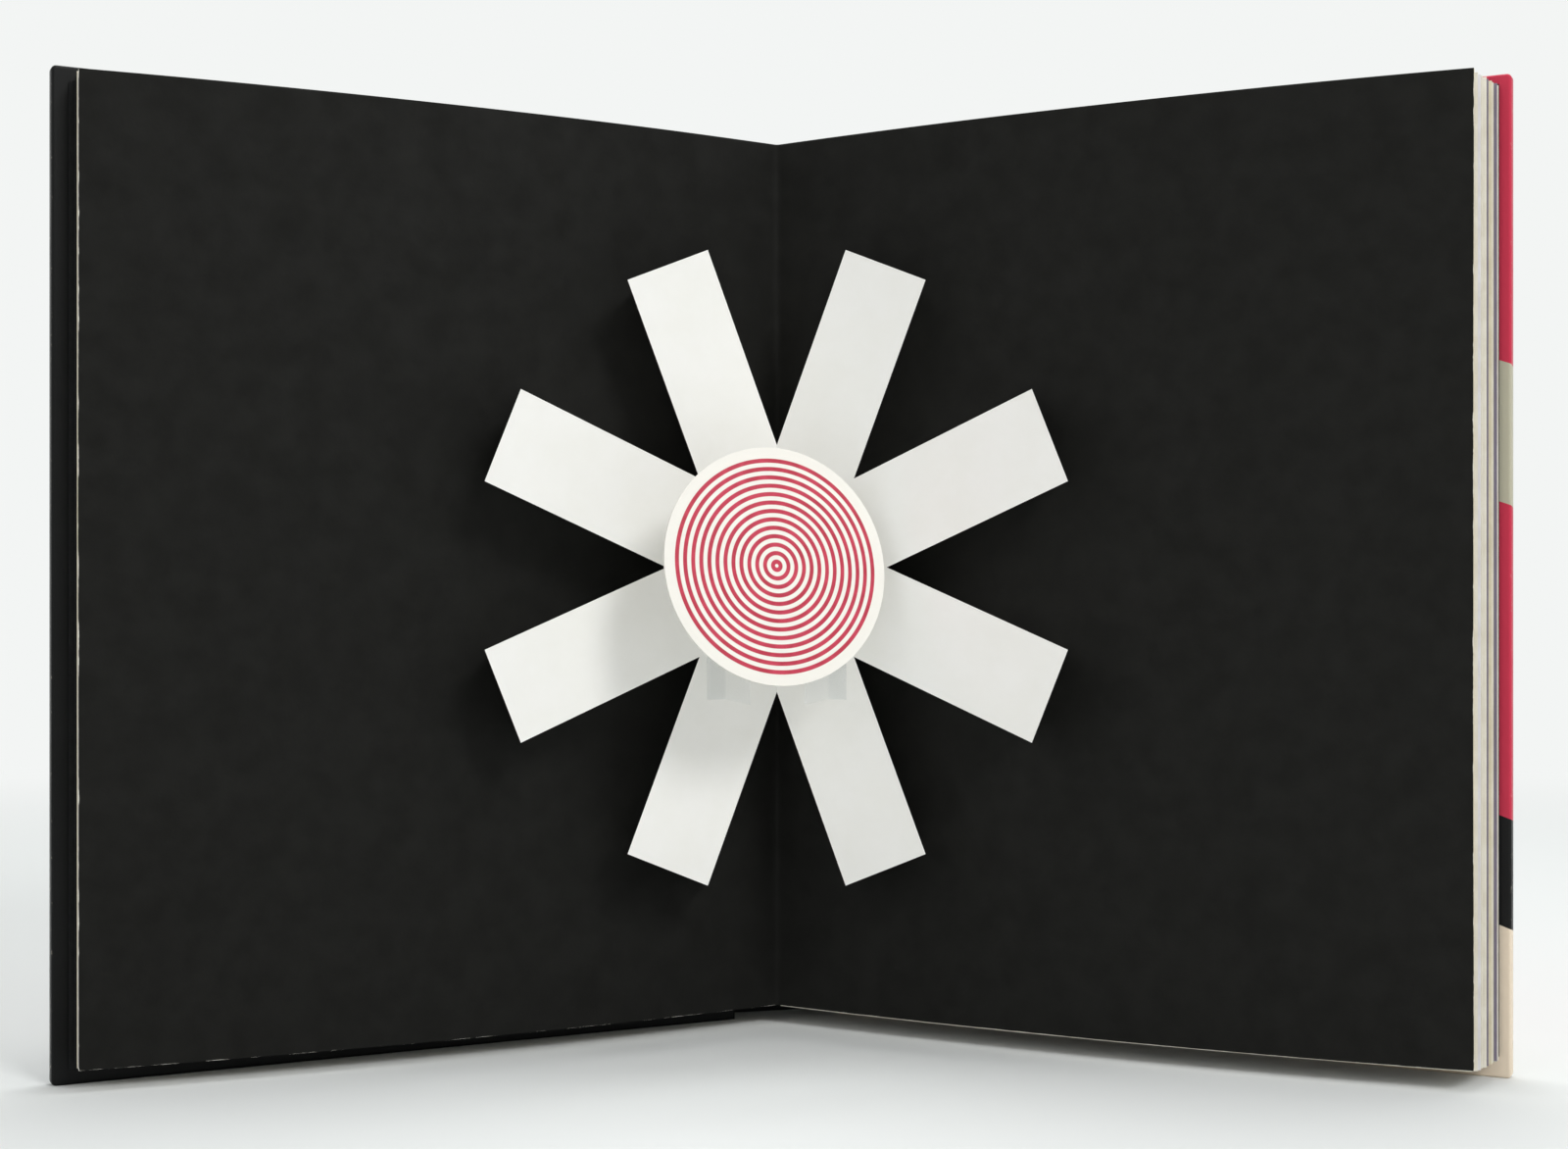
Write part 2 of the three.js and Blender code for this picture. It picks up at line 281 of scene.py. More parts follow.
def makeMattBlackPrint(settings, low, leftEdge, rightEdge):
    material, tree, shader, coords = newMaterial("black_ink_on_coated_card", {"Specular IOR Level": 0.1})
    ink = addMottle(tree, coords, *settings["ink"])
    place = addNode(tree, "ShaderNodeSeparateXYZ", links={"Vector": coords.outputs["Object"]})
    facing = addNode(tree, "ShaderNodeSeparateXYZ", links={"Vector": coords.outputs["Normal"]})
    front = addNode(tree, "ShaderNodeMath", {"operation": "LESS_THAN", 1: -settings["frontFacing"]},
                    {0: facing.outputs["Y"]})
    fromFoot = addNode(tree, "ShaderNodeMath", {"operation": "SUBTRACT", 1: low}, {0: place.outputs["Z"]})
    fromLeft = addNode(tree, "ShaderNodeMath", {"operation": "SUBTRACT", 1: leftEdge},
                       {0: place.outputs["X"]})
    fromRight = addNode(tree, "ShaderNodeMath", {"operation": "SUBTRACT", 0: rightEdge},
                        {1: place.outputs["X"]})
    sides = addNode(tree, "ShaderNodeMath", {"operation": "MINIMUM"},
                    {0: fromLeft.outputs[0], 1: fromRight.outputs[0]})
    footRub = addNode(tree, "ShaderNodeMath", {"operation": "MULTIPLY", 1: settings["footHardness"]},
                      {0: fromFoot.outputs[0]})
    nearest = addNode(tree, "ShaderNodeMath", {"operation": "MINIMUM"},
                      {0: sides.outputs[0], 1: footRub.outputs[0]})
    ragged = addNode(tree, "ShaderNodeTexNoise", {
        "Scale": 1000 / settings["rubPatch"], "Detail": 6, "Roughness": 0.65,
    }, {"Vector": coords.outputs["Object"]})
    reach = addNode(tree, "ShaderNodeMapRange", {
        "From Min": settings["rubRange"][0], "From Max": settings["rubRange"][1],
        "To Min": 0, "To Max": settings["rubWidth"] * 2 / 1000,
    }, {"Value": ragged.outputs["Fac"]})
    kept = addNode(tree, "ShaderNodeMath", {"operation": "GREATER_THAN"},
                   {0: nearest.outputs[0], 1: reach.outputs["Result"]})
    printed = addNode(tree, "ShaderNodeMath", {"operation": "MULTIPLY"},
                      {0: front.outputs[0], 1: kept.outputs[0]})
    colour = addNode(tree, "ShaderNodeMix", {"data_type": "RGBA", 6: linear(settings["cardEdge"])},
                     {0: printed.outputs[0], 7: ink.outputs["Color"]})
    tree.links.new(colour.outputs[2], shader.inputs["Base Color"])
    addRoughness(tree, shader, coords, *settings["roughness"])
    addRelief(tree, shader, coords, *settings["relief"])
    return material


# White coated card: clean warm white with a soft tooth, so that its lit faces glow and its walls go grey
whiteCard = {
    "shader": {"Specular IOR Level": 0.35},
    "mottle": (9, "#f3f2ed", "#f5f4f0"),
    "roughness": (6, 0.5, 0.64),
    "relief": (0.45, 0.012),
}

# White card with thin red rings printed on its front: crisp offset print, plain white back and edge
ringPrint = {
    "card": "#f5f2ea",
    "ink": (3, "#b92e45", "#cb3c55"),
    "pitch": 1.62,  # mm from ring to ring
    "lineShare": 0.5,
    "softEdge": 0.03,  # of the pitch, to either side of a line's edge
    "outerRing": 21.3,  # mm, where the white margin starts
    "frontFacing": 0.7,
    "roughness": (5, 0.45, 0.6),
    "relief": (0.4, 0.01),
}


def makeRingPrint(settings, middle, facingWay):
    material, tree, shader, coords = newMaterial("red_rings_on_white_card", {"Specular IOR Level": 0.35})
    ink = addMottle(tree, coords, *settings["ink"])
    radius = addNode(tree, "ShaderNodeVectorMath", {"operation": "DISTANCE", 1: middle},
                     {0: coords.outputs["Object"]})
    turns = addNode(tree, "ShaderNodeMath", {"operation": "DIVIDE", 1: settings["pitch"] / 1000},
                    {0: radius.outputs["Value"]})
    phase = addNode(tree, "ShaderNodeMath", {"operation": "FRACT"}, {0: turns.outputs[0]})
    centred = addNode(tree, "ShaderNodeMath", {"operation": "SUBTRACT", 1: 0.5}, {0: phase.outputs[0]})
    size = addNode(tree, "ShaderNodeMath", {"operation": "ABSOLUTE"}, {0: centred.outputs[0]})
    edge = settings["lineShare"] / 2
    line = addNode(tree, "ShaderNodeMapRange", {
        "From Min": edge - settings["softEdge"], "From Max": edge + settings["softEdge"],
        "To Min": 1, "To Max": 0,
    }, {"Value": size.outputs[0]})
    inside = addNode(tree, "ShaderNodeMath", {"operation": "LESS_THAN", 1: settings["outerRing"] / 1000},
                     {0: radius.outputs["Value"]})
    front = addNode(tree, "ShaderNodeVectorMath", {"operation": "DOT_PRODUCT", 1: facingWay},
                    {0: coords.outputs["Normal"]})
    faces = addNode(tree, "ShaderNodeMath", {"operation": "GREATER_THAN", 1: settings["frontFacing"]},
                    {0: front.outputs["Value"]})
    inked = addNode(tree, "ShaderNodeMath", {"operation": "MULTIPLY"},
                    {0: line.outputs["Result"], 1: inside.outputs[0]})
    onFront = addNode(tree, "ShaderNodeMath", {"operation": "MULTIPLY"},
                      {0: inked.outputs[0], 1: faces.outputs[0]})
    colour = addNode(tree, "ShaderNodeMix", {"data_type": "RGBA", 6: linear(settings["card"])},
                     {0: onFront.outputs[0], 7: ink.outputs["Color"]})
    tree.links.new(colour.outputs[2], shader.inputs["Base Color"])
    addRoughness(tree, shader, coords, *settings["roughness"])
    addRelief(tree, shader, coords, *settings["relief"])
    return material


# Clear PET film, cut in strips: nearly invisible, with a hard bright glint along its bends
clearFilm = {
    "shader": {"Alpha": 0.12, "IOR": 1.57},
    "mottle": (5, "#dfe6e8", "#eef2f3"),
    "roughness": (4, 0.05, 0.14),
}

# Uncoated page card seen on its cut edges: each sheet its own tone, from cream to a cool lilac white. The
# last tone, a dark purple-grey, is painted shade: the dark line of a gap between the cards, put on whole
# cards' edges
pageEdges = {
    "cardTonesAndGapShade": [(0, "#e9e2cb"), (0.3, "#f2eee2"), (0.6, "#efedf0"), (0.85, "#e4e0e8"), (1, "#8f8797")],
    "dust": (4, "#ebe7df", "#ffffff"),
    "dustShare": 0.5,
    "roughness": (5, 0.75, 0.9),
    "relief": (0.3, 0.02),
}


def makePageEdges(settings):
    material, tree, shader, coords = newMaterial("page_card_edges", {"Specular IOR Level": 0.25})
    tone = addNode(tree, "ShaderNodeAttribute", {"attribute_name": "tone"})
    # Each card's edge tone; the darkest, at tone 1, is painted shade of the gap between cards
    sheet = addNode(tree, "ShaderNodeValToRGB", {"stops": settings["cardTonesAndGapShade"]}, {"Fac": tone.outputs["Fac"]})
    dust = addMottle(tree, coords, *settings["dust"])
    colour = addNode(tree, "ShaderNodeMix", {
        "data_type": "RGBA", "blend_type": "MULTIPLY", 0: settings["dustShare"],
    }, {6: sheet.outputs["Color"], 7: dust.outputs["Color"]})
    tree.links.new(colour.outputs[2], shader.inputs["Base Color"])
    addRoughness(tree, shader, coords, *settings["roughness"])
    addRelief(tree, shader, coords, *settings["relief"])
    return material


# Litho-printed paper under a silk-matt film laminate: deep colour with a broad soft sheen, rubbed
# pale where it turns round the edges of the board
laminate = {
    "black": (14, "#0b0c0c", "#111212"),
    "fields": [  # the colours up the back cover's edge, as shares of its height
        (0, "#ecdcc6"), (0.145, "#171717"), (0.256, "#c83850"), (0.57, "#bcb8a3"), (0.71, "#c83850"),
    ],
    "wave": 9,  # mm, how far the fields' borders swing over the cover's width
    "waveStretch": 1.15,  # cover widths to one wave
    "disc": "#c83850",
    "discAt": (70, 112),  # mm along the front cover and up it
    "discRadius": 38,
    "ring": "#d9cfb8",
    "ringRadius": 44,
    "ringHalfWidth": 1.6,
    "rubbed": "#b9b2a6",
    "scuff": 1.4,  # mm
    "scuffRange": (0.6, 0.7),  # the noise where scuffs start and are full
    "scuffStrength": 0.55,
    "rimFacing": (0.9, 0.35),  # how squarely the rim faces outwards where rubbing starts and is full
    "roughness": (12, 0.36, 0.48),
    "relief": (1.1, 0.015),
}


def addWaves(tree, place, settings, height, edgeX, waveLength):
    fromEdge = addNode(tree, "ShaderNodeMath", {"operation": "SUBTRACT", 1: edgeX}, {0: place.outputs["X"]})
    angle = addNode(tree, "ShaderNodeMath", {"operation": "MULTIPLY", 1: math.tau / waveLength},
                    {0: fromEdge.outputs[0]})
    swing = addNode(tree, "ShaderNodeMath", {"operation": "SINE"}, {0: angle.outputs[0]})
    lift = addNode(tree, "ShaderNodeMath", {"operation": "MULTIPLY_ADD", 1: settings["wave"] / 1000},
                   {0: swing.outputs[0], 2: place.outputs["Z"]})
    share = addNode(tree, "ShaderNodeMath", {"operation": "DIVIDE", 1: height}, {0: lift.outputs[0]})
    return addNode(tree, "ShaderNodeValToRGB", {"stops": settings["fields"], "interpolation": "CONSTANT"},
                   {"Fac": share.outputs[0]})


def addDiscAndRing(tree, coords, settings, base, middle):
    radius = addNode(tree, "ShaderNodeVectorMath", {"operation": "DISTANCE", 1: middle},
                     {0: coords.outputs["Object"]})
    inDisc = addNode(tree, "ShaderNodeMath", {"operation": "LESS_THAN", 1: settings["discRadius"] / 1000},
                     {0: radius.outputs["Value"]})
    offRing = addNode(tree, "ShaderNodeMath", {"operation": "SUBTRACT", 1: settings["ringRadius"] / 1000},
                      {0: radius.outputs["Value"]})
    ringSize = addNode(tree, "ShaderNodeMath", {"operation": "ABSOLUTE"}, {0: offRing.outputs[0]})
    inRing = addNode(tree, "ShaderNodeMath", {"operation": "LESS_THAN", 1: settings["ringHalfWidth"] / 1000},
                     {0: ringSize.outputs[0]})
    withDisc = addNode(tree, "ShaderNodeMix", {"data_type": "RGBA", 7: linear(settings["disc"])},
                       {0: inDisc.outputs[0], 6: base})
    return addNode(tree, "ShaderNodeMix", {"data_type": "RGBA", 7: linear(settings["ring"])},
                   {0: inRing.outputs[0], 6: withDisc.outputs[2]})


# outward is the way that the board's face looks. waves is its height, edge and wave length in metres,
# and disc the middle of the disc. With neither, the paper is black
def makeLaminate(name, settings, outward, waves=None, disc=None):
    material, tree, shader, coords = newMaterial(name, {
        "Specular IOR Level": 0.12, "Coat Weight": 0.03, "Coat Roughness": 0.25,
    })
    if waves:
        place = addNode(tree, "ShaderNodeSeparateXYZ", links={"Vector": coords.outputs["Object"]})
        base = addWaves(tree, place, settings, *waves)
    else:
        base = addMottle(tree, coords, *settings["black"])
    printed = base.outputs["Color"]
    if disc:
        printed = addDiscAndRing(tree, coords, settings, printed, disc).outputs[2]
    # The rubbed rims: where the surface turns away from the face of the board
    facing = addNode(tree, "ShaderNodeVectorMath", {"operation": "DOT_PRODUCT", 1: outward},
                     {0: coords.outputs["Normal"]})
    flat = addNode(tree, "ShaderNodeMath", {"operation": "ABSOLUTE"}, {0: facing.outputs["Value"]})
    rim = addNode(tree, "ShaderNodeMapRange", {
        "From Min": settings["rimFacing"][0], "From Max": settings["rimFacing"][1], "To Min": 0, "To Max": 1,
    }, {"Value": flat.outputs[0]})
    scuffs = addNode(tree, "ShaderNodeTexNoise", {
        "Scale": 1000 / settings["scuff"], "Detail": 5, "Roughness": 0.7,
    }, {"Vector": coords.outputs["Object"]})
    worn = addNode(tree, "ShaderNodeMapRange", {
        "From Min": settings["scuffRange"][0], "From Max": settings["scuffRange"][1],
        "To Min": 0, "To Max": settings["scuffStrength"],
    }, {"Value": scuffs.outputs["Fac"]})
    amount = addNode(tree, "ShaderNodeMath", {"operation": "MULTIPLY"},
                     {0: rim.outputs["Result"], 1: worn.outputs["Result"]})
    colour = addNode(tree, "ShaderNodeMix", {"data_type": "RGBA", 7: linear(settings["rubbed"])},
                     {0: amount.outputs[0], 6: printed})
    tree.links.new(colour.outputs[2], shader.inputs["Base Color"])
    addRoughness(tree, shader, coords, *settings["roughness"])
    addRelief(tree, shader, coords, *settings["relief"])
    return material


# Uncoated black endpaper, dyed through: dry, dull and faintly flecked
endpaper = {
    "shader": {"Specular IOR Level": 0.2},
    "mottle": (1.2, "#141516", "#1c1d1e", 6),
    "roughness": (6, 0.78, 0.9),
    "relief": (0.6, 0.03, 5),
}

# Grey pulp board: coarse recycled fibre with pale and dark specks
greyBoard = {
    "shader": {"Specular IOR Level": 0.15},
    "mottle": (0.9, "#7d7970", "#9b978c", 6),
    "roughness": (3, 0.88, 0.96),
    "relief": (0.8, 0.06),
}

# Dried PVA glue over the folds: milky, slightly glossy and lumpy
driedGlue = {
    "shader": {"IOR": 1.46},
    "mottle": (3, "#cfc8b6", "#e8e3d6"),
    "roughness": (2, 0.3, 0.6),
    "relief": (1.5, 0.15),
}

# Open-weave mull glued down with paste: a dull cream grid of threads. The real ones are 0.6 mm apart,
# and they are drawn coarser to show
mullCloth = {
    "thread": 0.9,  # mm
    "unevenness": 0.4,
    # The darker colour, in the holes between the threads, is painted shade
    "colours": [(0.2, "#b9b19c"), (0.8, "#e6e0cf")],  # from the holes to the tops of the threads
    "height": 0.12,  # mm
    "roughness": (4, 0.85, 0.95),
}


def makeMull(settings):
    material, tree, shader, coords = newMaterial("woven_mull", {"Specular IOR Level": 0.15})
    bandsInOne = 20 / math.tau  # of a wave texture with a scale of 1
    heights = []
    for axis in ("X", "Z"):
        thread = addNode(tree, "ShaderNodeTexWave", {
            "wave_type": "BANDS", "bands_direction": axis, "Distortion": settings["unevenness"],
            "Scale": 1000 / settings["thread"] / bandsInOne,
        }, {"Vector": coords.outputs["Object"]})
        heights.append(thread.outputs["Fac"])
    weave = addNode(tree, "ShaderNodeMath", {"operation": "MAXIMUM"}, {0: heights[0], 1: heights[1]})
    # Darker where the weave is low: painted shade in the holes between threads
    tint = addNode(tree, "ShaderNodeValToRGB", {"stops": settings["colours"]}, {"Fac": weave.outputs[0]})
    tree.links.new(tint.outputs["Color"], shader.inputs["Base Color"])
    addRoughness(tree, shader, coords, *settings["roughness"])
    bump = addNode(tree, "ShaderNodeBump", {"Distance": settings["height"] / 1000},
                   {"Height": weave.outputs[0]})
    tree.links.new(bump.outputs["Normal"], shader.inputs["Normal"])
    return material


# Open spread

spread = {
    "columns": 36,
    "rows": 24,
    "crowding": 1.4,  # how much closer the columns stand by the fold
    "foldRadius": 0.5,
    "foldDip": 0.35,  # how far the fold comes forwards, as a share of its radius
    "cockle": 0.22,  # mm that the card waves
    "cockles": ((31, 5, 1), (13, -9, 0.5)),  # of each wave its height, turn across the page and weight
    "calm": (0.02, 0.35),  # the wave grows over these shares of the page
}
pageLow = plan["tailSquare"]
pageHigh = pageLow + plan["pageHeight"]


def spreadRun(offset):
    run = []
    for side in (-1, 1):
        steps = range(spread["columns"], -1, -1) if side < 0 else range(spread["columns"] + 1)
        for i in steps:
            share = (i / spread["columns"]) ** spread["crowding"]
            run.append(leafPoint(side, 0, lerp(spread["foldRadius"], plan["pageWidth"], share), offset))
        if side < 0:
            run.append(gutterPoint(offset) - Vector((0, spread["foldRadius"] * spread["foldDip"])))
    return run


def cockle(i, z):
    fold = spread["columns"] + 1
    across = (i - fold) / fold
    waves = sum(weight * math.sin(z / height + across * turn) for height, turn, weight in spread["cockles"])
    weights = sum(weight for height, turn, weight in spread["cockles"])
    return spread["cockle"] * smooth(*spread["calm"], abs(across)) * waves / weights


leftEdgeX = inFrame(leafPoint(-1, 0, plan["pageWidth"], 0), 0).x
rightEdgeX = inFrame(leafPoint(1, 0, plan["pageWidth"], 0), 0).x
blackInk = makeMattBlackPrint(mattBlackPrint, pageLow / 1000, leftEdgeX, rightEdgeX)
bm = bmesh.new()
addSheet(bm, spreadRun(0), spreadRun(plan["spreadThickness"]), pageLow, pageHigh, spread["rows"], bend=cockle)
openSpread = finishMesh(bm, "open_spread_card", blackInk)
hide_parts("open_spread")
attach(openSpread, "book_block")
print("open spread")

# Page block: closed spreads, each one card folded at the spine and glued back to back to the next

block = {
    "ply": 0.36,  # mm, thickness of each card
    "turnRadius": 0.55,  # of each fold
    "turnSteps": 6,
    "turnGap": 0.02,  # between the deepest point of a fold and the glue
    "columns": 20,
    "foreEdgeScatter": 0.45,
    "foreEdgeSlope": {-1: -0.2, 1: 0.06},  # how much further a card reaches for each millimetre further back
    "headScatter": 0.2,  # at the head and the tail
    "tailDrop": 0.55,  # how much lower the right half's closed cards stand
    "firstTone": 0.05,
    # A 1 gives that card's edge the dark painted shade of a gap between cards
    "tones": {  # of pageEdges, card by card from the front backwards
        -1: (0.6, 0, 0.3, 0.1),
        1: (0.3, 0.6, 0.25, 0.3, 1, 0, 0.2, 1, 0.35),
    },
    "seed": 7,
}
pick = random.Random(block["seed"])
edgeCard = makePageEdges(pageEdges)
frontPly = block["ply"] / 2
backPly = plan["leafThickness"] - frontPly


def plyRun(side, depth, offset, near, reach):
    shares = [i / block["columns"] for i in range(block["columns"] + 1)]
    return [leafPoint(side, depth, lerp(near, reach, share), offset) for share in shares]


def scatteredReach(side, depth):
    reach = plan["pageWidth"] + block["foreEdgeSlope"][side] * depth
    return reach - pick.uniform(0, block["foreEdgeScatter"])


def addCard(bm, path, tone, drop=0):
    front, back = stripEdges(path, block["ply"])
    addSheet(bm, front, back, pageLow - drop + pick.uniform(0, block["headScatter"]),
             pageHigh - drop / 2 - pick.uniform(0, block["headScatter"]), tone=tone)


bm = bmesh.new()
first = leafDepth(0)
underSheet = (
    plyRun(-1, first, frontPly, block["turnRadius"], scatteredReach(-1, first))[::-1]
    + [gutterPoint(first + frontPly)]
    + plyRun(1, first, frontPly, block["turnRadius"], scatteredReach(1, first))
)
addCard(bm, underSheet, block["firstTone"])
for side in (-1, 1):
    for i in range(plan["leafCount"][side] - 1):
        here, after = leafDepth(i), leafDepth(i + 1)
        out = plyRun(side, here, backPly, block["turnRadius"], scatteredReach(side, here))[::-1]
        back = plyRun(side, after, frontPly, block["turnRadius"], scatteredReach(side, after))
        turn = []
        width = plan["leafPitch"] + frontPly - backPly
        for step in range(1, block["turnSteps"]):
            sweep = math.pi * step / block["turnSteps"]
            turn.append(leafPoint(side, here + width * (1 - math.cos(sweep)) / 2,
                                  block["turnRadius"] * (1 - math.sin(sweep)) + block["turnGap"], backPly))
        addCard(bm, out + turn + back, block["tones"][side][i],
                block["tailDrop"] if side > 0 else 0)
leaves = finishMesh(bm, "folded_page_cards", edgeCard, smoothAngle=25)
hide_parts("page_block")
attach(leaves, "book_block")

# The outermost card of each side is black on its outside, like the endpaper that faces it
endLeafNear = 0.05  # mm from the fold
blackEndpaper = makePlainFinish("black_uncoated_endpaper", endpaper)
for side, name in ((-1, "front_black_end_leaf"), (1, "back_black_end_leaf")):
    bm = bmesh.new()
    depth = leafDepth(plan["leafCount"][side] - 1)
    addCard(bm, plyRun(side, depth, backPly, endLeafNear, scatteredReach(side, depth)), 0)
    endLeaf = finishMesh(bm, name, blackEndpaper, smoothAngle=25)
    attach(endLeaf, "book_block")
print("page cards")

# Pop-ups of the closed spreads, folded flat between their cards
flatPopUps = {
    "thickness": 0.28,
    "near": (9, 25),  # mm from the fold
    "reach": (60, 125),
    "feet": ((12, 60), (95, 120)),  # of the lower and the upper one
    "height": (30, 60),
    "tones": (0.3, 0.6, 1),
    "seed": 11,
}
pick = random.Random(flatPopUps["seed"])
middle = (plan["leafThickness"] + plan["leafPitch"]) / 2
bm = bmesh.new()
for side in (-1, 1):
    for i in range(plan["leafCount"][side] - 1):
        for feet in flatPopUps["feet"]:
            near, reach = pick.uniform(*flatPopUps["near"]), pick.uniform(*flatPopUps["reach"])
            foot = pick.uniform(*feet)
            head = foot + pick.uniform(*flatPopUps["height"])
            path = plyRun(side, leafDepth(i), middle, near, reach)
            front, back = stripEdges(path, flatPopUps["thickness"])
            addSheet(bm, front, back, foot, head, tone=pick.choice(flatPopUps["tones"]))
foldedPopUps = finishMesh(bm, "folded_pop_ups", edgeCard, smoothAngle=25)
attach(foldedPopUps, "book_block")

# Glue that joins the folds
glue = {
    "thickness": 1.2,
    "bite": 0.35,  # how far it runs in between the folds
    "start": 0.576,  # mm behind the first leaf's front
    "steps": 10,
    "capSteps": 3,  # of them, over which it closes to a ridge behind the gutter
    "sunk": 0.05,  # mm that its back lies nearer to the folds than its full thickness
    "ripple": 0.12,
    "rippleTurn": 2.1,  # radians from step to step
    "inset": 1,  # from the head and the foot of the leaves
}
bm = bmesh.new()
apex = Vector((0, glue["thickness"] / math.sin(math.radians(plan["gutterAngle"]))))
inner, outer = [], []
for side in (-1, 1):
    for k in (range(glue["steps"], -1, -1) if side < 0 else range(1, glue["steps"] + 1)):
        depth = lerp(leafDepth(0) + glue["start"], stackThickness(side), k / glue["steps"])
        inner.append(leafPoint(side, depth, glue["bite"], 0))
        if k < glue["capSteps"]:
            outer.append(apex.lerp(leafPoint(side, depth, -glue["thickness"], 0), k / glue["capSteps"]))
        else:
            ripple = glue["ripple"] * math.sin(k * glue["rippleTurn"] + side) if k < glue["steps"] else 0
            outer.append(leafPoint(side, depth, glue["sunk"] + ripple - glue["thickness"], 0))
addSheet(bm, inner, outer, pageLow + glue["inset"], pageHigh - glue["inset"])
spineGlue = finishMesh(bm, "spine_glue", makePlainFinish("dried_pva_glue", driedGlue))
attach(spineGlue, "book_block")
print("folded pop-ups and glue")

# Case: board wrapped in printed paper. Each cover's own frame has its origin at the board's outer
# corner by the joint, x along the board, y forwards and z up.

case = {
    "boardWidth": 137.5,
    "boardHeight": 184.9,
    "boardThickness": 1.8,
    "paper": 0.3,
    "spineSetback": 5,
    "jointLength": 7.5,
    "hingeClearance": 1,
    "cornerRadius": 0.9,  # where the paper is folded round the board's corners
    "rimRadius": 0.55,
    "turnIn": 14,
    "pastedownMargin": 3,
    "turnInRidge": 0.19,  # how far the pastedown sinks past the turned-in paper
    "ridgeSpread": (-0.8, 1.6),  # mm inside the edge of the turn-in, where the sinking starts and ends
    "pastedownColumns": 48,
    "pastedownRows": 60,
}
skin = case["paper"] + plan["glueGap"]
coverThickness = case["boardThickness"] + 2 * skin
caseHeight = case["boardHeight"] + 2 * skin
caseWidth = case["boardWidth"] + skin
spineWidth = stackThickness(-1) + stackThickness(1) + 2 * case["boardThickness"]


def boardCorner(side):
    return (leafPoint(side, stackThickness(side), 0, 0)
            + behind(side, plan["boardAngle"]) * (plan["glueGap"] + skin + coverThickness)
            + along(side, plan["boardAngle"]) * case["spineSetback"])


corners = {side: boardCorner(side) for side in (-1, 1)}
span = corners[1] - corners[-1]
spineAlong = span.normalized()
spineBehind = Vector((-spineAlong.y, spineAlong.x))
splay = (spineWidth + 2 * case["hingeClearance"] - span.length) / 2
setback = math.sqrt(case["jointLength"] ** 2 - splay ** 2)
hinges = {side: corners[side] + spineAlong * side * splay + spineBehind * setback for side in (-1, 1)}


def onCover(side, x, y):
    return corners[side] + along(side, plan["boardAngle"]) * x - behind(side, plan["boardAngle"]) * y


def onSpine(x, y):
    return hinges[-1].lerp(hinges[1], 0.5) + spineAlong * x - spineBehind * y


def depthOfEdge(edge):
    return abs(edge.verts[0].co.y - edge.verts[1].co.y)


# A slab with rounded rims: x0 to x1 wide, from its outer face forwards, placed by place(x, y).
# Its corners are rounded at roundedEnd, where there is one
def wrappedSlab(name, x0, x1, roundedEnd, place, material):
    touching = 0.001  # mm
    bm = bmesh.new()
    bmesh.ops.create_cube(bm, size=1)
    for v in bm.verts:
        v.co = Vector((
            x1 if v.co.x > 0 else x0,
            coverThickness if v.co.y > 0 else 0,
            caseHeight if v.co.z > 0 else 0,
        ))
    if roundedEnd is not None:
        uprights = [e for e in bm.edges
                    if depthOfEdge(e) > touching and abs(e.verts[0].co.x - roundedEnd) < touching]
        bmesh.ops.bevel(bm, geom=uprights, offset=case["cornerRadius"], segments=6, profile=0.5,
                        affect="EDGES")
    rims = [e for e in bm.edges if depthOfEdge(e) < touching]
    bmesh.ops.bevel(bm, geom=rims, offset=case["rimRadius"], segments=4, profile=0.55, affect="EDGES")
    for v in bm.verts:
        v.co = inFrame(place(v.co.x, v.co.y), v.co.z)
    slab = finishMesh(bm, name, material, smoothAngle=50)
    # Keeps the large faces flat to the eye
    evenShading = slab.modifiers.new("even_shading", "WEIGHTED_NORMAL")
    evenShading.keep_sharp = True
    return slab


boardWay = {side: behind(side, plan["boardAngle"]).to_3d() for side in (-1, 1)}
coverX = {side: inFrame(onCover(side, caseWidth, coverThickness), 0).x for side in (-1, 1)}
waveLength = abs(coverX[1] - inFrame(onCover(1, 0, 0), 0).x) * laminate["waveStretch"]
discAlong, discUp = laminate["discAt"]
frontPaper = makeLaminate("black_laminated_paper", laminate, boardWay[-1],
                          disc=inFrame(onCover(-1, discAlong, 0), discUp))
backPaper = makeLaminate("coloured_laminated_paper", laminate, boardWay[1],
                         waves=(caseHeight / 1000, coverX[1], waveLength))
spineSkin = makeLaminate("black_laminated_spine_paper", laminate, spineBehind.to_3d())
bodies = {-1: "front_cover", 1: "back_cover"}
words = {-1: "front", 1: "back"}
papers = {-1: frontPaper, 1: backPaper}

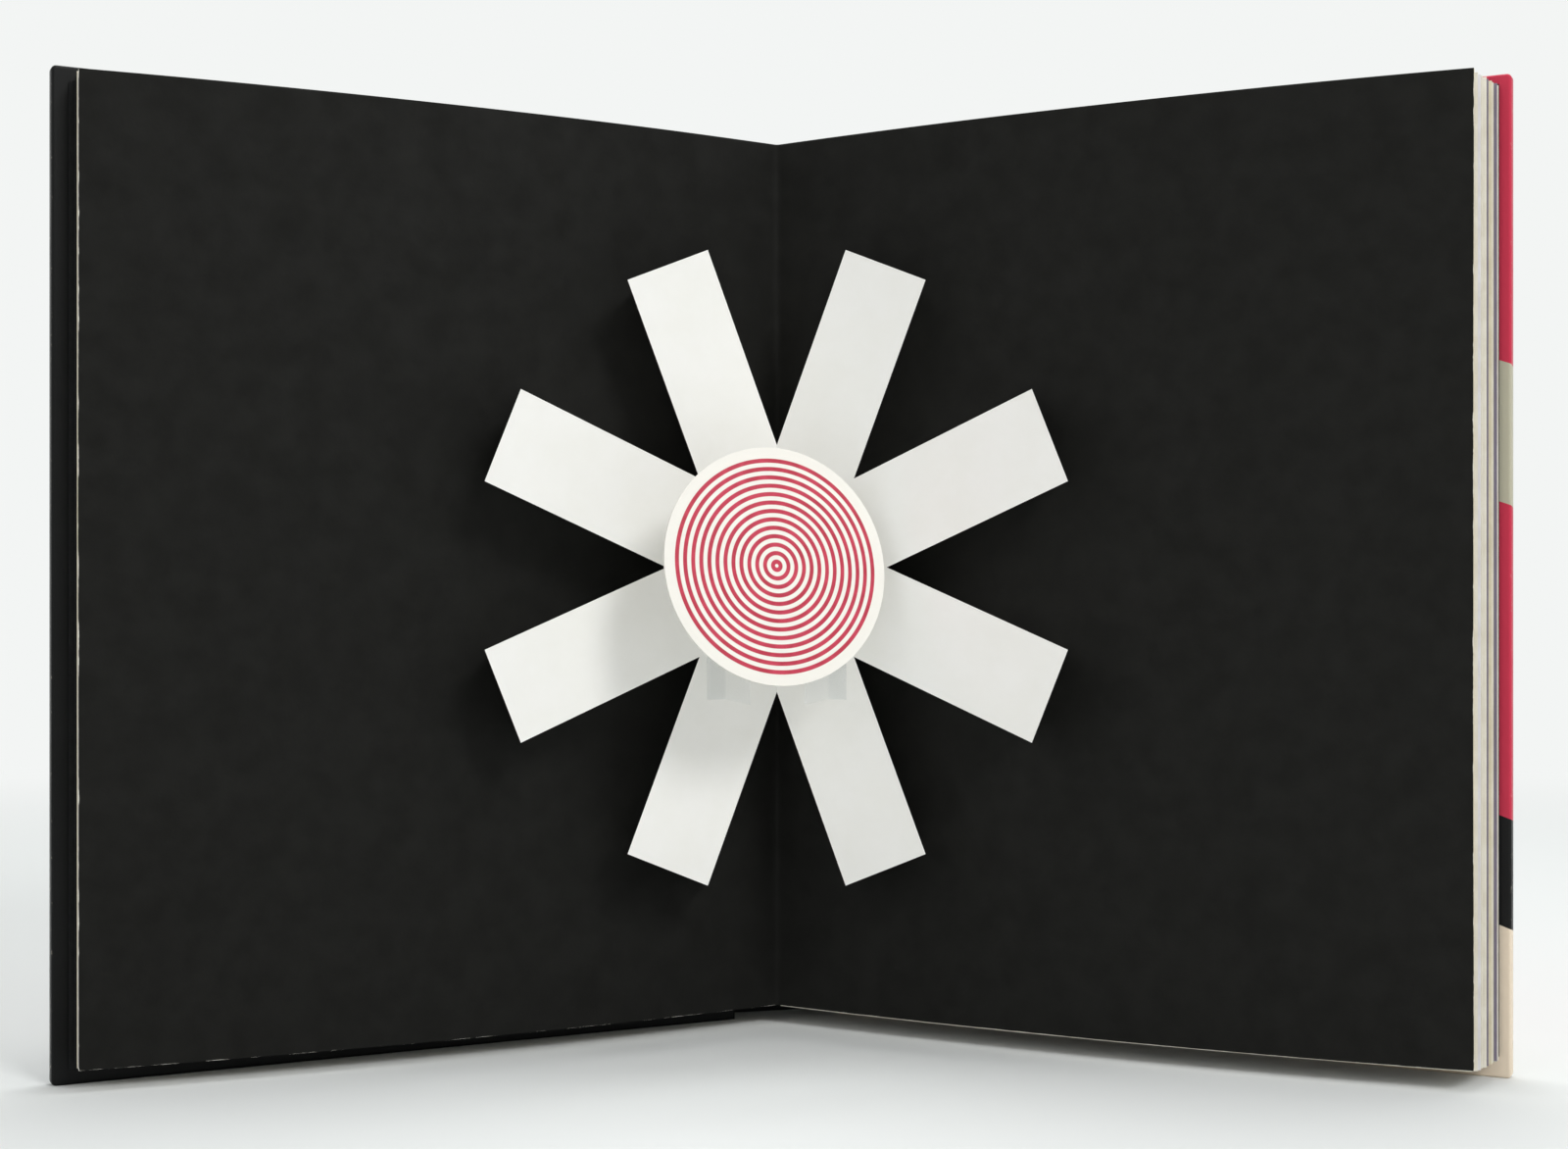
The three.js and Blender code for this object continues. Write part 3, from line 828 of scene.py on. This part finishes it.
# Paper of the joint: it runs from the spine's edge, round the hinge, to the face of the board
jointPaper = {
    "onSpine": 0.9,  # mm that it laps onto the spine
    "onBoard": 1.6,
    "spinePull": 3.4,  # how far it runs on straight from each before it bends
    "boardPull": 3.2,
    "steps": 18,
    "trim": 0.15,  # at the head and the tail
}
for side in (-1, 1):
    word, body = words[side], bodies[side]
    wrap = wrappedSlab(f"{word}_wrapped_board", 0, caseWidth, caseWidth,
                       lambda x, y, s=side: onCover(s, x, y), papers[side])
    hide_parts(f"{word}_cover_paper")
    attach(wrap, body)

    start = onSpine(side * (spineWidth / 2 - jointPaper["onSpine"]), case["paper"] / 2)
    end = onCover(side, jointPaper["onBoard"], case["paper"] / 2)
    path = bezier(start, start + spineAlong * side * jointPaper["spinePull"],
                  end - along(side, plan["boardAngle"]) * jointPaper["boardPull"], end, jointPaper["steps"])
    bm = bmesh.new()
    front, back = stripEdges(path, case["paper"])
    addSheet(bm, front, back, jointPaper["trim"], caseHeight - jointPaper["trim"], rows=2)
    joint = finishMesh(bm, f"{word}_joint_paper", papers[side])
    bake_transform(joint)

    # Pastedown: a sheet over the inside, sunk a little inside the border of turned-in paper
    margin = case["pastedownMargin"]
    columns, rows = case["pastedownColumns"], case["pastedownRows"]
    bm = bmesh.new()
    grids = []
    for level in (plan["glueGap"] + case["paper"], plan["glueGap"]):
        grid = []
        for r in range(rows + 1):
            z = lerp(margin, caseHeight - margin, r / rows)
            row = []
            for c in range(columns + 1):
                x = lerp(margin, caseWidth - margin, c / columns)
                inside = min(caseWidth - x, z, caseHeight - z) - case["turnIn"]
                sink = case["turnInRidge"] * smooth(*case["ridgeSpread"], inside)
                row.append(bm.verts.new(inFrame(onCover(side, x, coverThickness + level - sink), z)))
            grid.append(row)
        grids.append(grid)
    a, b = grids
    for r in range(rows):
        for c in range(columns):
            bm.faces.new((a[r][c], a[r][c + 1], a[r + 1][c + 1], a[r + 1][c]))
            bm.faces.new((b[r][c], b[r + 1][c], b[r + 1][c + 1], b[r][c + 1]))
        bm.faces.new((a[r][0], a[r + 1][0], b[r + 1][0], b[r][0]))
        bm.faces.new((a[r][columns], b[r][columns], b[r + 1][columns], a[r + 1][columns]))
    for c in range(columns):
        bm.faces.new((a[0][c], b[0][c], b[0][c + 1], a[0][c + 1]))
        bm.faces.new((a[rows][c], a[rows][c + 1], b[rows][c + 1], b[rows][c]))
    paste = finishMesh(bm, f"{word}_pasted_endpaper", blackEndpaper)
    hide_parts(f"{word}_pastedown")
    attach(paste, body)

half = spineWidth / 2
spineWrap = wrappedSlab("wrapped_spine", -half, half, None, onSpine, spineSkin)
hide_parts("spine_paper")
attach(spineWrap, "book_block")
print("case")

# Lining: a strip of mull drawn round the glued folds, its ends reaching the inside of the spine
mull = {
    "inset": 4,  # mm from the hinges to its ends
    "thickness": 0.3,
    "spacing": 0.8,
    "softening": 2,  # passes that round its bends
    "rows": 30,
}
layer = glue["thickness"] + plan["glueGap"] + mull["thickness"] / 2


def liningEnd(side):
    return (hinges[side] - spineAlong * side * mull["inset"]
            - spineBehind * (coverThickness + plan["glueGap"]))


stations = [
    liningEnd(-1),
    leafPoint(-1, stackThickness(-1), -layer, 0),
    Vector((0, layer / math.sin(math.radians(plan["gutterAngle"])))),
    leafPoint(1, stackThickness(1), -layer, 0),
    liningEnd(1),
]
path = []
for p, q in zip(stations, stations[1:]):
    pieces = max(2, round((q - p).length / mull["spacing"]))
    path += [p.lerp(q, k / pieces) for k in range(pieces)]
path.append(stations[-1])
for _ in range(mull["softening"]):
    inside = [(a + b * 2 + c) / 4 for a, b, c in zip(path, path[1:], path[2:])]
    path = [path[0], *inside, path[-1]]
bm = bmesh.new()
front, back = stripEdges(path, mull["thickness"])
addSheet(bm, front, back, pageLow, pageHigh, mull["rows"])
lining = finishMesh(bm, "mull_strip", makeMull(mullCloth), smoothAngle=60)
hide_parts("spine_lining")
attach(lining, "book_block")
print("lining")

# Star: the solid's own card box, with the radius that a scored fold and a cut edge take
star = {
    "foldRadius": 0.14,
    "weld": 0.01,  # mm between points that are one
    "flat": 1,  # degrees under which two faces are one
    "sharp": 50,  # degrees over which an edge is a fold or a cut
}
bm = bmesh.new()
bm.from_mesh(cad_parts["star"].data)
bmesh.ops.remove_doubles(bm, verts=bm.verts, dist=star["weld"] / 1000)
bmesh.ops.dissolve_limit(bm, angle_limit=math.radians(star["flat"]), verts=bm.verts, edges=bm.edges)
bmesh.ops.recalc_face_normals(bm, faces=bm.faces)
sharp = math.radians(star["sharp"])
folds = [e for e in bm.edges if len(e.link_faces) == 2 and e.calc_face_angle_signed() > sharp]
bmesh.ops.bevel(bm, geom=folds, offset=star["foldRadius"] / 1000, segments=2, profile=0.5, affect="EDGES",
                clamp_overlap=True)
whiteFinish = makePlainFinish("white_coated_card", whiteCard)
starCard = finishMesh(bm, "folded_card_star", whiteFinish, smoothAngle=star["flat"])
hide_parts("star")
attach(starCard, "book_block")
print("star")

# CAD nodes that stay, with better materials

disc = {"depth": 44, "height": 95, "yaw": 25, "lean": 9}  # mm and degrees, as in the solids
discMiddle = inFrame(Vector((0, -disc["depth"])), disc["height"])
yaw, lean = math.radians(disc["yaw"]), math.radians(disc["lean"])
discFacing = Vector((math.sin(yaw) * math.cos(lean), -math.cos(yaw) * math.cos(lean), math.sin(lean)))
film = makePlainFinish("clear_pet_film", clearFilm)
board = makePlainFinish("grey_pulp_board", greyBoard)
finishes = {
    "ringed_disc": makeRingPrint(ringPrint, discMiddle, discFacing),
    "left_film_strut": film,
    "right_film_strut": film,
    "front_board": board,
    "back_board": board,
    "spine_board": board,
}
for name, material in finishes.items():
    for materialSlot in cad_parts[name].material_slots:
        materialSlot.material = material
print("finishes")

# Floor, light and camera

stageSettings = {  # lengths in metres
    "floor": "#e9eceb",
    "backdrop": "#f3f5f4",
    "fadeFrom": 0.32,  # from the book, where the floor starts to fade into the backdrop
    "fadeTo": 0.8,
    "frontAt": -3,
    "wallAt": 0.9,
    "wallHeight": 2.4,
    "width": 7,
    "bend": 0.45,
    "bendSteps": 12,
}


# 1 for rays that the camera sees, straight, mirrored or through film, and 0 for those that only give light
def seenRays(tree):
    rays = addNode(tree, "ShaderNodeLightPath")
    mirrored = addNode(tree, "ShaderNodeMath", {"operation": "MAXIMUM"},
                       {0: rays.outputs["Is Camera Ray"], 1: rays.outputs["Is Glossy Ray"]})
    return addNode(tree, "ShaderNodeMath", {"operation": "MAXIMUM"},
                   {0: mirrored.outputs[0], 1: rays.outputs["Is Transmission Ray"]}).outputs[0]


# Matt pale paper: it takes the book's soft shadow, and further off the camera sees one even pale tone
def makeSweep(settings):
    material, tree, shader, coords = newMaterial("pale_paper_sweep", {
        "Base Color": linear(settings["floor"]), "Specular IOR Level": 0.1, "Roughness": 0.9,
    })
    away = addNode(tree, "ShaderNodeVectorMath", {"operation": "LENGTH"}, {0: coords.outputs["Object"]})
    fade = addNode(tree, "ShaderNodeMapRange", {
        "interpolation_type": "SMOOTHSTEP", "From Min": settings["fadeFrom"], "From Max": settings["fadeTo"],
    }, {"Value": away.outputs["Value"]})
    share = addNode(tree, "ShaderNodeMath", {"operation": "MULTIPLY"},
                    {0: fade.outputs["Result"], 1: seenRays(tree)})
    even = addNode(tree, "ShaderNodeEmission", {"Color": linear(settings["backdrop"]), "Strength": 1})
    mixed = addNode(tree, "ShaderNodeMixShader", links={
        0: share.outputs[0], 1: shader.outputs["BSDF"], 2: even.outputs["Emission"],
    })
    tree.links.new(mixed.outputs["Shader"], tree.nodes["Material Output"].inputs["Surface"])
    bm = bmesh.new()
    wallAt, bend, half = settings["wallAt"], settings["bend"], settings["width"] / 2
    profile = [(settings["frontAt"], 0), (wallAt, 0)]
    for k in range(1, settings["bendSteps"] + 1):
        turn = math.pi / 2 * k / settings["bendSteps"]
        profile.append((wallAt + bend * math.sin(turn), bend * (1 - math.cos(turn))))
    profile.append((wallAt + bend, settings["wallHeight"]))
    runs = [[bm.verts.new((x, y, z)) for y, z in profile] for x in (-half, half)]
    for k in range(len(profile) - 1):
        bm.faces.new((runs[0][k], runs[1][k], runs[1][k + 1], runs[0][k + 1]))
    return finishMesh(bm, "paper_sweep", material, smoothAngle=60)


sweep = makeSweep(stageSettings)

studio = {"light": "#ffffff", "strength": 0.5}
world = bpy.data.worlds.new("studio")
scene.world = world
world.use_nodes = True
worldTree = world.node_tree
background = worldTree.nodes["Background"]
background.inputs["Color"].default_value = linear(studio["light"])
background.inputs["Strength"].default_value = studio["strength"]
backdrop = addNode(worldTree, "ShaderNodeBackground", {
    "Color": linear(stageSettings["backdrop"]), "Strength": 1,
})
bothWorlds = addNode(worldTree, "ShaderNodeMixShader", links={
    0: seenRays(worldTree), 1: background.outputs[0], 2: backdrop.outputs[0],
})
worldTree.links.new(bothWorlds.outputs[0], worldTree.nodes["World Output"].inputs["Surface"])

aim = Vector((0, 0, 0.08))  # a little under the middle of the book
lamps = {  # metres and watts
    "key": {"at": (0.6, -0.85, 0.8), "size": 0.4, "power": 5.6},
    "fill": {"at": (-0.9, -0.9, 0.6), "size": 0.9, "power": 1.4},
    "top": {"at": (0.1, 0.15, 1.2), "size": 0.7, "power": 7},
}
for name, lamp in lamps.items():
    light = bpy.data.lights.new(name, "AREA")
    light.shape = "DISK"
    light.size = lamp["size"]
    light.energy = lamp["power"]
    holder = bpy.data.objects.new(name, light)
    holder.location = lamp["at"]
    holder.rotation_euler = (aim - Vector(lamp["at"])).to_track_quat("-Z", "Y").to_euler()
    scene.collection.objects.link(holder)

view = {
    "at": (-0.00041, -0.4205, 0.0873),
    "lens": 48.42,
    "sensor": 36,
    "shiftY": 0.0206,  # lifts the frame, so that the upright edges stay upright
    "nearest": 0.01,
}
cameraData = bpy.data.cameras.new("camera")
cameraData.sensor_width = view["sensor"]
cameraData.lens = view["lens"]
cameraData.shift_y = view["shiftY"]
cameraData.clip_start = view["nearest"]
camera = bpy.data.objects.new("camera", cameraData)
camera.location = view["at"]
camera.rotation_euler = (math.pi / 2, 0, 0)
scene.collection.objects.link(camera)
scene.camera = camera
scene.view_settings.view_transform = "Standard"
print("stage")
